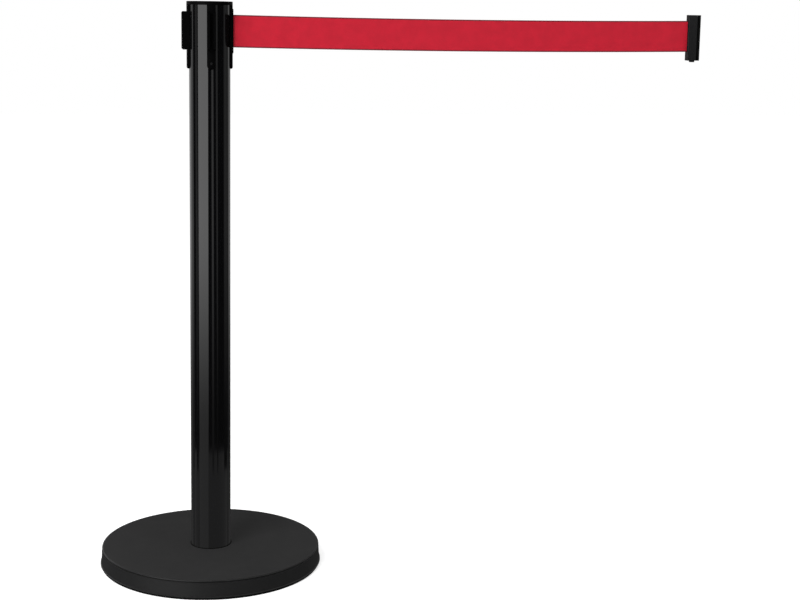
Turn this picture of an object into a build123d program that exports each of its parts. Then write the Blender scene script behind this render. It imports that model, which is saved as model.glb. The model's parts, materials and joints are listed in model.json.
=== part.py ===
"""Retractable belt stanchion: weighted base, post, belt cassette in the post's head, belt and clip.

Millimetres. +Z is up, and the origin is on the floor under the post's axis. The belt leaves along +X,
and the front of the stanchion faces -Y. The belt is drawn about 740 mm out of its 2 m.
"""
from build123d import *
import math
import os

os.makedirs("parts", exist_ok=True)

# ---------------------------------------------------------------- driving dimensions
HEIGHT = 900.0
TUBE_R = 31.75
TUBE_WALL = 1.5

BASE_R = 174.5
BASE_FOOT_R = 175.8
BASE_TOP = 31.0
COVER_SHEET = 1.5
COVER_EDGE_R = 2.0
GROOVE_W = 1.8
GROOVE_DEPTH = 1.5
LIP_R = 177.2
LIP_TOP = 5.5
LIP_ROLL = 0.6
RING_R = 175.4
RING_INNER_R = 150.0
RING_H = 4.0
WEIGHT_R = 160.0
BOLT_R = 5.95
BOLT_HOLE_R = 7.0

GASKET = 1.2
GASKET_PROUD = 1.3
PLUG_H = 12.0

CAP_R = 35.5
CAP_H = 5.0

STRIP_W = 13.0
STRIP_DEPTH = 103.0
STRIP_END_R = 3.0
SLOT_W = 10.0
SCREW_UP = 9.5

BELT_W = 50.0
BELT_T = 0.8
BELT_MID = 855.0
BELT_OUT = 739.5
ROLL_R = 19.6

RECEIVER_LOW = 826.3
RECEIVER_HIGH = 884.5
RECEIVER_PROUD = 7.5

CLIP_W = 15.2
CLIP_H = 73.4
CLIP_LOW = 816.0
CLIP_THICK = 13.0
T_NECK = 1.9
T_FLANGE = 3.9
TAB_DROP = 2.6

# ---------------------------------------------------------------- worked-out dimensions
tube_bore = TUBE_R - TUBE_WALL
tube_low = BASE_TOP + GASKET
tube_top = HEIGHT - CAP_H
strip_low = HEIGHT - STRIP_DEPTH
strip_inner_r = TUBE_R + 0.05
belt_low = BELT_MID - BELT_W / 2
belt_high = BELT_MID + BELT_W / 2
clip_x = CAP_R + BELT_OUT
clip_high = CLIP_LOW + CLIP_H
screw_z = strip_low + SCREW_UP

# the cassette, from the bottom up
HOUSING_R = 29.0
HOUSING_BORE = 27.4
LEDGE_BORE = 26.0
housing_low = 799.0
FLOOR_TOP = 811.0
PARTITION_LOW = 825.0
PARTITION_TOP = 826.5
LID_LOW = 884.0
LID_TOP = 887.0
ARBOR_R = 4.0
BUSH_R = 6.0
BUSH_H = 8.0
RUNNING = 0.05
PRESS = 0.02
HUB_R = 12.0
SPOOL_FLANGE_R = 23.2
SPOOL_FLANGE = 1.8
BOSS_AT = 25.7
BOSS_R = 2.0
PIN_X = 25.4
PIN_Y = 2.3
PIN_R = 1.8


def facing(angle, distance):
    """A plane square to the post's radius at this angle, its X along the tangent and its Y straight up."""
    outward = Vector(1, 0, 0).rotate(Axis.Z, angle)
    sideways = Vector(0, 1, 0).rotate(Axis.Z, angle)
    return Plane(origin=outward * distance, x_dir=sideways, z_dir=outward)


def save(piece, name):
    """Labels a finished piece with its node name and writes its file."""
    piece.label = name
    export_step(piece, f"parts/{name}.step")


# ---------------------------------------------------------------- base
# Rubber ring that the cover's wall and the weight stand on.
with BuildPart() as floor_ring:
    with BuildSketch():
        Circle(RING_R)
        Circle(RING_INNER_R, mode=Mode.SUBTRACT)
    extrude(amount=RING_H)
    chamfer(floor_ring.edges().filter_by(GeomType.CIRCLE).group_by(Axis.Z)[0], 0.8)
save(floor_ring.part, "floor_ring")

# Cast disc under the cover, bored for the bolt, with a well below that takes the bolt's head.
WELL_R = 16.0
WELL_DEPTH = 12.0
with BuildPart() as base_weight:
    with BuildSketch(Plane.XY.offset(RING_H)):
        Circle(WEIGHT_R)
    extrude(amount=BASE_TOP - COVER_SHEET - RING_H)
    chamfer(base_weight.edges().filter_by(GeomType.CIRCLE), 2.0)
    with Locations(Plane(origin=(0, 0, RING_H), x_dir=(1, 0, 0), z_dir=(0, 0, -1))):
        CounterBoreHole(BOLT_HOLE_R, WELL_R, WELL_DEPTH)
save(base_weight.part, "base_weight")

# Pressed steel cover: flat top, small rounded edge with a fine rolled groove under it, a wall with a
# little draft and a lip at its foot. The sheet stands in behind the groove.
groove_high = BASE_TOP - COVER_EDGE_R
inner_r = BASE_R - COVER_SHEET
with BuildPart() as base_cover:
    with BuildSketch(Plane.XZ):
        with BuildLine():
            Polyline(
                (BOLT_HOLE_R, BASE_TOP),
                (BASE_R, BASE_TOP),
                (BASE_FOOT_R, LIP_TOP),
                (LIP_R, LIP_TOP - LIP_ROLL),
                (LIP_R, RING_H),
                (BASE_FOOT_R - COVER_SHEET, RING_H),
                (inner_r, BASE_TOP - COVER_SHEET),
                (BOLT_HOLE_R, BASE_TOP - COVER_SHEET),
                close=True,
            )
        make_face()
    revolve(axis=Axis.Z)
    rims = base_cover.edges().filter_by(GeomType.CIRCLE)
    fillet([e for e in rims if abs(e.radius - BASE_R) < 0.01], COVER_EDGE_R)
    fillet([e for e in rims if abs(e.radius - inner_r) < 0.01], COVER_EDGE_R - COVER_SHEET)
    with BuildSketch(Plane.XZ):
        with Locations((inner_r - GROOVE_DEPTH, groove_high)):
            Rectangle(2 * GROOVE_DEPTH, GROOVE_W + COVER_SHEET, align=(Align.MIN, Align.MAX))
    revolve(axis=Axis.Z)
    with BuildSketch(Plane.XZ):
        with Locations((BASE_R - GROOVE_DEPTH, groove_high)):
            Rectangle(2 * GROOVE_DEPTH, GROOVE_W, align=(Align.MIN, Align.MAX))
    revolve(axis=Axis.Z, mode=Mode.SUBTRACT)
save(base_cover.part, "base_cover")

# Hexagon bolt M12 from below, with its spring washer and flat washer.
HEAD_LOW = 3.0
HEAD_H = 7.5
HEAD_FLATS = 19.0
SPRING_WASHER_H = 3.0
SPRING_WASHER_R = 10.5
FLAT_WASHER_H = 2.5
FLAT_WASHER_R = 14.0
WASHER_BORE_R = 6.4
head_top = HEAD_LOW + HEAD_H
bolt_top = tube_low + PLUG_H - 2.0
with BuildPart() as base_bolt:
    with BuildSketch(Plane.XY.offset(HEAD_LOW)):
        RegularPolygon(radius=HEAD_FLATS / 2, side_count=6, major_radius=False)
    extrude(amount=HEAD_H)
    with BuildSketch(Plane.XY.offset(head_top)):
        Circle(BOLT_R)
    extrude(amount=bolt_top - head_top)
    chamfer(base_bolt.edges().filter_by(GeomType.CIRCLE).group_by(Axis.Z)[-1], 1.0)
save(base_bolt.part, "base_bolt")

# The spring washer is a ring cut through at a slant.
with BuildPart() as spring_washer:
    with BuildSketch(Plane.XY.offset(head_top)):
        Circle(SPRING_WASHER_R)
        Circle(WASHER_BORE_R, mode=Mode.SUBTRACT)
        with Locations(((SPRING_WASHER_R + WASHER_BORE_R) / 2, 0)):
            Rectangle(6.0, 1.4, rotation=15, mode=Mode.SUBTRACT)
    extrude(amount=SPRING_WASHER_H)
save(spring_washer.part, "spring_washer")

with BuildPart() as base_washer:
    with BuildSketch(Plane.XY.offset(head_top + SPRING_WASHER_H)):
        Circle(FLAT_WASHER_R)
        Circle(WASHER_BORE_R, mode=Mode.SUBTRACT)
    extrude(amount=FLAT_WASHER_H)
save(base_washer.part, "base_washer")

# ---------------------------------------------------------------- post
# Thin rubber gasket between the tube's foot and the cover.
with BuildPart() as foot_gasket:
    with BuildSketch(Plane.XY.offset(BASE_TOP)):
        Circle(TUBE_R + GASKET_PROUD)
        Circle(tube_bore - 1.5, mode=Mode.SUBTRACT)
    extrude(amount=GASKET)
save(foot_gasket.part, "foot_gasket")

# Steel plug welded in the tube's foot, threaded for the bolt.
with BuildPart() as foot_plug:
    with BuildSketch(Plane.XY.offset(tube_low)):
        Circle(tube_bore - 0.1)
        Circle(BOLT_R + 0.05, mode=Mode.SUBTRACT)
    extrude(amount=PLUG_H)
    chamfer(foot_plug.edges().filter_by(GeomType.CIRCLE).group_by(Axis.Z)[-1], 0.8)
save(foot_plug.part, "foot_plug")

# Tube with four slots milled down from its top, each with a round lower end.
slot_low = strip_low + (STRIP_W - SLOT_W) / 2
with BuildPart() as post_tube:
    with BuildSketch(Plane.XY.offset(tube_low)):
        Circle(TUBE_R)
        Circle(tube_bore, mode=Mode.SUBTRACT)
    extrude(amount=tube_top - tube_low)
    for side in (0, 90):
        with BuildSketch(facing(side, 0)):
            with Locations((0, slot_low + SLOT_W / 2)):
                Circle(SLOT_W / 2)
            with Locations((0, slot_low + SLOT_W / 2)):
                Rectangle(SLOT_W, tube_top - slot_low, align=(Align.CENTER, Align.MIN))
        extrude(amount=TUBE_R + 5, both=True, mode=Mode.SUBTRACT)
save(post_tube.part, "post_tube")


# ---------------------------------------------------------------- head mouldings
def tombstone(width, low, high):
    """Draws an upright slab outline with a round lower end in the sketch that is open."""
    with Locations((0, low + width / 2)):
        Circle(width / 2)
    with Locations((0, low + width / 2)):
        Rectangle(width, high - low - width / 2, align=(Align.CENTER, Align.MIN))


def strip_blank(angle):
    """Adds the strip that every head moulding shares to the part that is open."""
    with BuildSketch(facing(angle, TUBE_R - 8)) as outline:
        tombstone(STRIP_W, strip_low, tube_top)
    extrude(outline.sketch, amount=20)
    with BuildSketch(Plane.XZ) as wall:
        with Locations((strip_inner_r, strip_low)):
            Rectangle(CAP_R - strip_inner_r, STRIP_DEPTH, align=(Align.MIN, Align.MIN))
        fillet(wall.vertices().group_by(Axis.Y)[0].sort_by(Axis.X)[-1], STRIP_END_R)
    revolve(wall.sketch, axis=Axis.Z, mode=Mode.INTERSECT)
    with BuildSketch(facing(angle, HOUSING_R + 0.5)) as web:
        tombstone(SLOT_W - 0.4, slot_low + 0.2, tube_top)
    extrude(web.sketch, amount=strip_inner_r - HOUSING_R + 0.5)
    with BuildSketch(facing(angle, 0)) as screw_hole:
        with Locations((0, screw_z)):
            Circle(SCREW_R + RUNNING)
    extrude(screw_hole.sketch, amount=CAP_R + 5, mode=Mode.SUBTRACT)
    with BuildSketch(facing(angle, CAP_R - SCREW_HEAD_H)) as head_recess:
        with Locations((0, screw_z)):
            Circle(SCREW_HEAD_R + 0.2)
    extrude(head_recess.sketch, amount=5, mode=Mode.SUBTRACT)


def break_edges(receiver, angle):
    """Chamfers a receiver's two ends and rounds its two long outer edges."""
    outward = Axis(origin=(0, 0, 0), direction=facing(angle, 0).z_dir)
    ends = receiver.faces().sort_by(outward)[-1].edges().filter_by(GeomType.LINE).group_by(Axis.Z)
    chamfer([ends[0][0], ends[-1][0]], END_CHAMFER)
    sides = receiver.faces().sort_by(outward)[-1].edges().filter_by(Axis.Z)
    fillet(sides, SIDE_ROUND)


SCREW_R = 1.25
SCREW_HEAD_R = 1.9
SCREW_HEAD_H = 1.4
END_CHAMFER = 1.8
SIDE_ROUND = 0.8
CHANNEL_W = 9.4
CHANNEL_BACK = 36.6
LIP = 1.7
MOUTH_W = 5.2
receiver_face = CAP_R + RECEIVER_PROUD
receiver_mid = (RECEIVER_LOW + RECEIVER_HIGH) / 2
receiver_h = RECEIVER_HIGH - RECEIVER_LOW

# Receivers on the front, left and back: a C-shaped channel that another belt's T-bar slides down into.
for name, angle in (("receiver_front", -90), ("receiver_left", 180), ("receiver_back", 90)):
    with BuildPart() as receiver:
        strip_blank(angle)
        with BuildSketch(facing(angle, CAP_R - 1.0)):
            with Locations((0, receiver_mid)):
                Rectangle(STRIP_W, receiver_h)
        extrude(amount=RECEIVER_PROUD + 1.0)
        break_edges(receiver, angle)
        with BuildSketch(facing(angle, CHANNEL_BACK)):
            with Locations((0, receiver_mid)):
                Rectangle(CHANNEL_W, receiver_h + 2)
        extrude(amount=receiver_face - LIP - CHANNEL_BACK, mode=Mode.SUBTRACT)
        with BuildSketch(facing(angle, CHANNEL_BACK)):
            with Locations((0, receiver_mid)):
                Rectangle(MOUTH_W, receiver_h + 2)
        extrude(amount=RECEIVER_PROUD + 2, mode=Mode.SUBTRACT)
    save(receiver.part, name)

# Outlet on the right: the same strip with a low bezel round the slot that the belt comes out of.
BEZEL_PROUD = 0.8
BEZEL_W = 10.0
BEZEL_LOW = 821.0
BEZEL_HIGH = 889.0
OUTLET_GAP = 2.6
OUTLET_SPARE = 1.5
with BuildPart() as outlet_guide:
    strip_blank(0)
    with BuildSketch(facing(0, CAP_R - 1.0)):
        with Locations((0, (BEZEL_LOW + BEZEL_HIGH) / 2)):
            RectangleRounded(BEZEL_W, BEZEL_HIGH - BEZEL_LOW, 3.0)
    extrude(amount=BEZEL_PROUD + 1.0)
    with BuildSketch(facing(0, HOUSING_R - 5)):
        with Locations((0, BELT_MID)):
            RectangleRounded(OUTLET_GAP, BELT_W + 2 * OUTLET_SPARE, 1.0)
    extrude(amount=20, mode=Mode.SUBTRACT)
save(outlet_guide.part, "outlet_guide")

# One screw near the foot of each moulding, into the cassette's floor.
with BuildPart() as strip_screws:
    for angle in (0, 90, 180, 270):
        with BuildSketch(facing(angle, HOUSING_R - 10)):
            with Locations((0, screw_z)):
                Circle(SCREW_R)
        extrude(amount=CAP_R - SCREW_HEAD_H - HOUSING_R + 10)
        with BuildSketch(facing(angle, CAP_R - SCREW_HEAD_H)):
            with Locations((0, screw_z)):
                Circle(SCREW_HEAD_R)
        extrude(amount=SCREW_HEAD_H - 0.1)
        with BuildSketch(facing(angle, CAP_R - 0.7)):
            with Locations((0, screw_z)):
                Rectangle(2.4, 0.6)
                Rectangle(0.6, 2.4)
        extrude(amount=1.0, mode=Mode.SUBTRACT)
save(strip_screws.part, "strip_screws")

# ---------------------------------------------------------------- belt cassette
LID_SCREW_R = 1.0
LID_SCREW_DEPTH = 11.0
boss_points = [Vector(BOSS_AT, 0, 0).rotate(Axis.Z, angle) for angle in (45, 135, 225, 315)]

# Housing: a deep cup with a thick floor, a ledge for the partition and a window towards the outlet.
with BuildPart() as cassette_housing:
    with BuildSketch(Plane.XY.offset(housing_low)):
        Circle(HOUSING_R)
    extrude(amount=LID_LOW - housing_low)
    with BuildSketch(Plane.XY.offset(FLOOR_TOP)):
        Circle(LEDGE_BORE)
    extrude(amount=PARTITION_LOW - FLOOR_TOP, mode=Mode.SUBTRACT)
    with BuildSketch(Plane.XY.offset(PARTITION_LOW)):
        Circle(HOUSING_BORE)
    extrude(amount=LID_LOW - PARTITION_LOW, mode=Mode.SUBTRACT)
    with BuildSketch(Plane.XY.offset(PARTITION_TOP)):
        with Locations(*boss_points):
            Circle(BOSS_R)
    extrude(amount=LID_LOW - PARTITION_TOP)
    with BuildSketch(Plane.XY.offset(LID_LOW - LID_SCREW_DEPTH - 1)):
        with Locations(*boss_points):
            Circle(LID_SCREW_R + RUNNING)
    extrude(amount=LID_SCREW_DEPTH + 2, mode=Mode.SUBTRACT)
    with BuildSketch(Plane.XY.offset(FLOOR_TOP - BUSH_H)):
        Circle(BUSH_R + PRESS)
    extrude(amount=BUSH_H + 1, mode=Mode.SUBTRACT)
    with BuildSketch(facing(0, 15)):
        with Locations((0, BELT_MID)):
            Rectangle(12.0, BELT_W + 5)
    extrude(amount=20, mode=Mode.SUBTRACT)
    for angle in (0, 90, 180, 270):
        with BuildSketch(facing(angle, HOUSING_R - 12)):
            with Locations((0, screw_z)):
                Circle(SCREW_R + RUNNING)
        extrude(amount=20, mode=Mode.SUBTRACT)
save(cassette_housing.part, "cassette_housing")

# Partition that closes the spring chamber.
with BuildPart() as spring_cover:
    with BuildSketch(Plane.XY.offset(PARTITION_LOW)):
        Circle(HOUSING_BORE - 0.1)
        Circle(ARBOR_R + 1.5, mode=Mode.SUBTRACT)
    extrude(amount=PARTITION_TOP - PARTITION_LOW)
save(spring_cover.part, "spring_cover")

# Lid: bearing boss in the middle, two posts up to the cap, four screw holes.
CAP_SCREW_AT = 15.0
CAP_SCREW_R = 1.5
with BuildPart() as cassette_lid:
    with BuildSketch(Plane.XY.offset(LID_LOW)):
        Circle(HOUSING_R)
    extrude(amount=LID_TOP - LID_LOW)
    with BuildSketch(Plane.XY.offset(LID_TOP)):
        Circle(BUSH_R + 2.5)
    extrude(amount=3.0)
    with BuildSketch(Plane.XY.offset(LID_TOP)):
        with Locations((0, CAP_SCREW_AT), (0, -CAP_SCREW_AT)):
            Circle(3.5)
    extrude(amount=tube_top - LID_TOP)
    with BuildSketch(Plane.XY.offset(LID_LOW)):
        Circle(BUSH_R + PRESS)
        with Locations((0, CAP_SCREW_AT), (0, -CAP_SCREW_AT)):
            Circle(CAP_SCREW_R + RUNNING)
        with Locations(*boss_points):
            Circle(LID_SCREW_R + 0.2)
    extrude(amount=tube_top - LID_LOW + 1, mode=Mode.SUBTRACT)
save(cassette_lid.part, "cassette_lid")

with BuildPart() as cassette_screws:
    with BuildSketch(Plane.XY.offset(LID_LOW - LID_SCREW_DEPTH)):
        with Locations(*boss_points):
            Circle(LID_SCREW_R)
    extrude(amount=LID_TOP - LID_LOW + LID_SCREW_DEPTH)
    with BuildSketch(Plane.XY.offset(LID_TOP)):
        with Locations(*boss_points):
            Circle(2.0)
    extrude(amount=1.5)
save(cassette_screws.part, "cassette_screws")

# Two smooth pins that the belt turns between on its way out.
with BuildPart() as guide_pins:
    with BuildSketch(Plane.XY.offset(PARTITION_TOP)):
        with Locations((PIN_X, PIN_Y), (PIN_X, -PIN_Y)):
            Circle(PIN_R)
    extrude(amount=LID_LOW - PARTITION_TOP)
save(guide_pins.part, "guide_pins")

# Bushes in the floor and the lid, and the steel arbor that turns in them with the spool.
arbor_low = FLOOR_TOP - BUSH_H
arbor_top = LID_TOP + 2.5
with BuildPart() as lower_bush:
    with BuildSketch(Plane.XY.offset(arbor_low)):
        Circle(BUSH_R)
        Circle(ARBOR_R + RUNNING, mode=Mode.SUBTRACT)
    extrude(amount=BUSH_H)
save(lower_bush.part, "lower_bush")

with BuildPart() as upper_bush:
    with BuildSketch(Plane.XY.offset(LID_LOW)):
        Circle(BUSH_R)
        Circle(ARBOR_R + RUNNING, mode=Mode.SUBTRACT)
    extrude(amount=6)
save(upper_bush.part, "upper_bush")

with BuildPart() as arbor:
    with BuildSketch(Plane.XY.offset(arbor_low + 0.3)):
        Circle(ARBOR_R)
    extrude(amount=arbor_top - arbor_low - 0.3)
    chamfer(arbor.edges().filter_by(GeomType.CIRCLE), 0.5)
save(arbor.part, "arbor")

# Spool: a hub between two flanges, lightened by six holes round the bore.
spool_low = belt_low - 0.7 - SPOOL_FLANGE
spool_high = belt_high + 0.7 + SPOOL_FLANGE
with BuildPart() as spool:
    with BuildSketch(Plane.XY.offset(spool_low)):
        Circle(HUB_R)
    extrude(amount=spool_high - spool_low)
    for flange_low in (spool_low, spool_high - SPOOL_FLANGE):
        with BuildSketch(Plane.XY.offset(flange_low)):
            Circle(SPOOL_FLANGE_R)
        extrude(amount=SPOOL_FLANGE)
    with BuildSketch(Plane.XY.offset(spool_low)):
        Circle(ARBOR_R + PRESS)
        with PolarLocations((ARBOR_R + HUB_R) / 2, 6):
            Circle(2.2)
    extrude(amount=spool_high - spool_low, mode=Mode.SUBTRACT)
save(spool.part, "spool")

# Belt that is still wound on the spool.
with BuildPart() as belt_roll:
    with BuildSketch(Plane.XY.offset(belt_low)):
        Circle(ROLL_R)
        Circle(HUB_R + 0.05, mode=Mode.SUBTRACT)
    extrude(amount=BELT_W)
save(belt_roll.part, "belt_roll")

# Power spring: a steel strip wound in half turns whose centres alternate, so it opens out steadily.
SPRING_STEP = 1.2
SPRING_FIRST_R = 6.6
SPRING_HALF_TURNS = 15
with BuildPart() as power_spring:
    with BuildSketch(Plane.XY.offset(FLOOR_TOP + 1)):
        with BuildLine():
            for turn in range(SPRING_HALF_TURNS):
                upper = turn % 2 == 0
                centre = (0, 0) if upper else (SPRING_STEP, 0)
                CenterArc(centre, SPRING_FIRST_R + turn * SPRING_STEP, 0 if upper else 180, 180)
        trace(line_width=0.4)
    extrude(amount=PARTITION_LOW - FLOOR_TOP - 2)
save(power_spring.part, "power_spring")

# Lead of belt from the roll, round a guide pin and into the outlet.
LEAD_END = 30.5
LEAD_T = 0.6
LEAD_HALF_TURN = 27.9
lead_r = ROLL_R + 0.4
corner_x = PIN_X - PIN_Y * math.tan(math.radians(LEAD_HALF_TURN))
run = math.sqrt(corner_x**2 - lead_r**2)
rise = math.asin(lead_r / corner_x)
with BuildPart() as belt_lead:
    with BuildSketch(Plane.XY.offset(belt_low)):
        with BuildLine():
            FilletPolyline(
                (corner_x - run * math.cos(rise), -run * math.sin(rise)),
                (corner_x, 0),
                (LEAD_END, 0),
                radius=PIN_Y,
            )
        trace(line_width=LEAD_T)
    extrude(amount=BELT_W)
save(belt_lead.part, "belt_lead")

# ---------------------------------------------------------------- head cap
# A flat cap with a skirt that locates inside the tube; two countersunk screws hold it to the lid.
with BuildPart() as head_cap:
    with BuildSketch(Plane.XY.offset(tube_top)):
        Circle(CAP_R)
    extrude(amount=CAP_H)
    fillet(head_cap.edges().filter_by(GeomType.CIRCLE).group_by(Axis.Z)[-1], 1.2)
    with BuildSketch(Plane.XY.offset(tube_top - 6)):
        Circle(HOUSING_R + 0.2)
        Circle(HOUSING_R - 2.0, mode=Mode.SUBTRACT)
    extrude(amount=6)
    with Locations((0, CAP_SCREW_AT, HEIGHT), (0, -CAP_SCREW_AT, HEIGHT)):
        CounterSinkHole(CAP_SCREW_R + 0.1, 3.3, counter_sink_angle=90)
save(head_cap.part, "head_cap")

with BuildPart() as cap_screws:
    for y in (CAP_SCREW_AT, -CAP_SCREW_AT):
        with BuildSketch(Plane.XY.offset(LID_LOW + 1)):
            with Locations((0, y)):
                Circle(CAP_SCREW_R)
        extrude(amount=HEIGHT - LID_LOW - 2)
        with BuildSketch(Plane.XY.offset(HEIGHT - 0.2)):
            with Locations((0, y)):
                Circle(3.0)
        extrude(amount=-1.6, taper=44)
        with BuildSketch(Plane.XY.offset(HEIGHT - 1.2)):
            with Locations((0, y)):
                RegularPolygon(radius=1.0, side_count=6, major_radius=False)
        extrude(amount=2.0, mode=Mode.SUBTRACT)
save(cap_screws.part, "cap_screws")

# ---------------------------------------------------------------- belt
# The free belt, in three lengths that share out its stretch when the clip is drawn out or let in.
web_length = (clip_x + 1.5 - LEAD_END) / 3
for number, name in enumerate(("belt_near", "belt_middle", "belt_far")):
    with BuildPart() as belt_web:
        with BuildSketch(Plane.YZ.offset(LEAD_END + number * web_length)):
            with Locations((0, BELT_MID)):
                Rectangle(BELT_T, BELT_W)
        extrude(amount=web_length)
    save(belt_web.part, name)

# The doubled and sewn end of the belt, looped round the clip's pin.
HEM_X = clip_x + 8.0
HEM_R = 2.3
BELT_PIN_R = 1.5
with BuildPart() as belt_hem:
    with BuildSketch(Plane.XY.offset(belt_low)):
        with Locations((HEM_X, 0)):
            Circle(HEM_R)
        with Locations((clip_x + 1.5, 0)):
            Rectangle(HEM_X - clip_x - 1.5, 2 * BELT_T, align=(Align.MIN, Align.CENTER))
        with Locations((HEM_X, 0)):
            Circle(BELT_PIN_R + RUNNING, mode=Mode.SUBTRACT)
    extrude(amount=BELT_W)
save(belt_hem.part, "belt_hem")

with BuildPart() as belt_pin:
    with BuildSketch(Plane.XY.offset(belt_low - 0.4)):
        with Locations((HEM_X, 0)):
            Circle(BELT_PIN_R)
    extrude(amount=BELT_W + 0.8)
save(belt_pin.part, "belt_pin")

# ---------------------------------------------------------------- belt end clip
front_y = -CLIP_THICK / 2
SPLIT_Y = 2.6
BELT_SLOT = 1.1
POCKET_SPARE = 0.8
body_end = clip_x + CLIP_W
HEAD_OVER = 4.8
T_HALF_NECK = 1.9
T_HALF = 4.1
LOOP_ROOM = 3.4
LOOP_DEPTH = 2.7
POCKET_END = clip_x + 13.0
TAB_FRONT = -2.6
TAB_BACK = 2.3
TAB_LEFT = clip_x + 6.0
TAB_RIGHT = clip_x + 13.6
SHOULDER = 1.2
MOUTH_H = 1.4
SPRING_ROOM_TOP = 827.0
FREE = 0.3
tab_mid = (TAB_LEFT + TAB_RIGHT) / 2
tab_top = CLIP_LOW + MOUTH_H + FREE
tab_shoulder_top = CLIP_LOW + MOUTH_H + 2.6
flange_x = body_end + T_NECK
head_low = clip_high - HEAD_OVER
pocket_low = belt_low - POCKET_SPARE
pocket_high = belt_high + POCKET_SPARE


def block(x0, x1, y0, y1, z0, z1, mode=Mode.ADD):
    """Adds or cuts a straight-sided block between two corners in the part that is open."""
    with BuildSketch(Plane.XY.offset(z0)) as footprint:
        with Locations(((x0 + x1) / 2, (y0 + y1) / 2)):
            Rectangle(x1 - x0, y1 - y0)
    extrude(footprint.sketch, amount=z1 - z0, mode=mode)


# Body: the front shell, with the T-bar that goes into another stanchion's receiver on its far edge.
SCREW_CORE_R = 1.0
CLIP_HEAD_R = 1.7
SEAT = 1.4
seat_y = front_y + SEAT
clip_screw_points = [
    (clip_x + 4.0, clip_high - 4.2),
    (clip_x + 11.5, clip_high - 4.2),
    (clip_x + 2.1, CLIP_LOW + 5.5),
]
with BuildPart() as clip_body:
    block(clip_x, body_end, front_y, SPLIT_Y, CLIP_LOW, clip_high)
    front_edges = clip_body.faces().sort_by(Axis.Y)[0].edges()
    fillet(front_edges, 1.2)
    block(body_end - 0.5, flange_x, -T_HALF_NECK, T_HALF_NECK, CLIP_LOW, head_low)
    block(flange_x, flange_x + T_FLANGE, -T_HALF, T_HALF, CLIP_LOW, head_low)
    block(body_end - 0.5, flange_x + T_FLANGE, -T_HALF, SPLIT_Y, head_low, clip_high)
    block(clip_x - 1, POCKET_END, -BELT_SLOT, SPLIT_Y, pocket_low, pocket_high, mode=Mode.SUBTRACT)
    block(HEM_X - LOOP_ROOM, HEM_X + LOOP_ROOM, -LOOP_DEPTH, SPLIT_Y, pocket_low, pocket_high,
          mode=Mode.SUBTRACT)
    block(TAB_LEFT - SHOULDER - FREE, TAB_RIGHT + FREE, TAB_FRONT - FREE, SPLIT_Y, CLIP_LOW + MOUTH_H,
          SPRING_ROOM_TOP, mode=Mode.SUBTRACT)
    block(TAB_LEFT - FREE, TAB_RIGHT + FREE, TAB_FRONT - FREE, SPLIT_Y, CLIP_LOW - 1, CLIP_LOW + MOUTH_H,
          mode=Mode.SUBTRACT)
    with BuildSketch(Plane.XZ.offset(-SPLIT_Y)):
        with Locations(*clip_screw_points):
            Circle(SCREW_CORE_R + RUNNING)
    extrude(amount=7.0, mode=Mode.SUBTRACT)
save(clip_body.part, "clip_body")

# Cover: the back shell, with a tongue that presses on the belt.
with BuildPart() as clip_cover:
    block(clip_x, body_end, SPLIT_Y, -front_y, CLIP_LOW, clip_high)
    fillet(clip_cover.faces().sort_by(Axis.Y)[-1].edges(), 1.2)
    block(clip_x, POCKET_END - 0.2, BELT_SLOT, SPLIT_Y, belt_low - 0.5, belt_high + 0.5)
    block(HEM_X - LOOP_ROOM, HEM_X + LOOP_ROOM, BELT_SLOT - 0.5, SPLIT_Y + FREE, belt_low - 0.5,
          belt_high + 0.5, mode=Mode.SUBTRACT)
    with BuildSketch(Plane.XZ.offset(-SPLIT_Y)):
        with Locations(*clip_screw_points):
            Circle(SCREW_CORE_R + RUNNING)
    extrude(amount=-10.0, mode=Mode.SUBTRACT)
    with BuildSketch(Plane.XZ.offset(seat_y)):
        with Locations(*clip_screw_points):
            Circle(CLIP_HEAD_R + 0.1)
    extrude(amount=-3.0, mode=Mode.SUBTRACT)
save(clip_cover.part, "clip_cover")

with BuildPart() as clip_screws:
    with BuildSketch(Plane.XZ.offset(seat_y)):
        with Locations(*clip_screw_points):
            Circle(SCREW_CORE_R)
    extrude(amount=8.0)
    with BuildSketch(Plane.XZ.offset(seat_y)):
        with Locations(*clip_screw_points):
            Circle(CLIP_HEAD_R)
    extrude(amount=0.2 - SEAT)
    for x, z in clip_screw_points:
        with BuildSketch(Plane.XZ.offset(seat_y - SEAT + 0.8)):
            with Locations((x, z)):
                Rectangle(2.2, 0.5)
                Rectangle(0.5, 2.2)
        extrude(amount=-1.0, mode=Mode.SUBTRACT)
save(clip_screws.part, "clip_screws")

# Lock tab: pushed up from below against its spring to free the clip.
with BuildPart() as lock_tab:
    block(TAB_LEFT, TAB_RIGHT, TAB_FRONT, TAB_BACK, CLIP_LOW - TAB_DROP, tab_top)
    fillet(lock_tab.faces().sort_by(Axis.Z)[0].edges(), 1.0)
    block(TAB_LEFT - SHOULDER, TAB_RIGHT, TAB_FRONT, TAB_BACK, tab_top, tab_shoulder_top)
save(lock_tab.part, "lock_tab")

COIL_R = 1.8
COIL_WIRE = 0.25
coil_low = tab_shoulder_top + COIL_WIRE
coil_high = SPRING_ROOM_TOP - COIL_WIRE
with BuildPart() as lock_spring:
    with BuildLine():
        coil = Helix(pitch=1.3, height=coil_high - coil_low, radius=COIL_R, center=(tab_mid, 0, coil_low))
    with BuildSketch(Plane(origin=coil @ 0, z_dir=coil % 0)):
        Circle(COIL_WIRE)
    sweep(path=coil, is_frenet=True)
save(lock_spring.part, "lock_spring")
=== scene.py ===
# %% [markdown]
# # A retractable belt stanchion, from bench to studio
# The stanchion is a weighted base, a lacquered post, four black mouldings round its head and a red
# belt with an end clip. Its hard pieces come from the frame at their true size and place. This
# notebook gives them their finishes, makes the woven belt, and sets the camera and the lights.

# %% Load the frame
import json
import math

import bmesh
import bpy
from mathutils import Matrix, Vector


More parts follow.
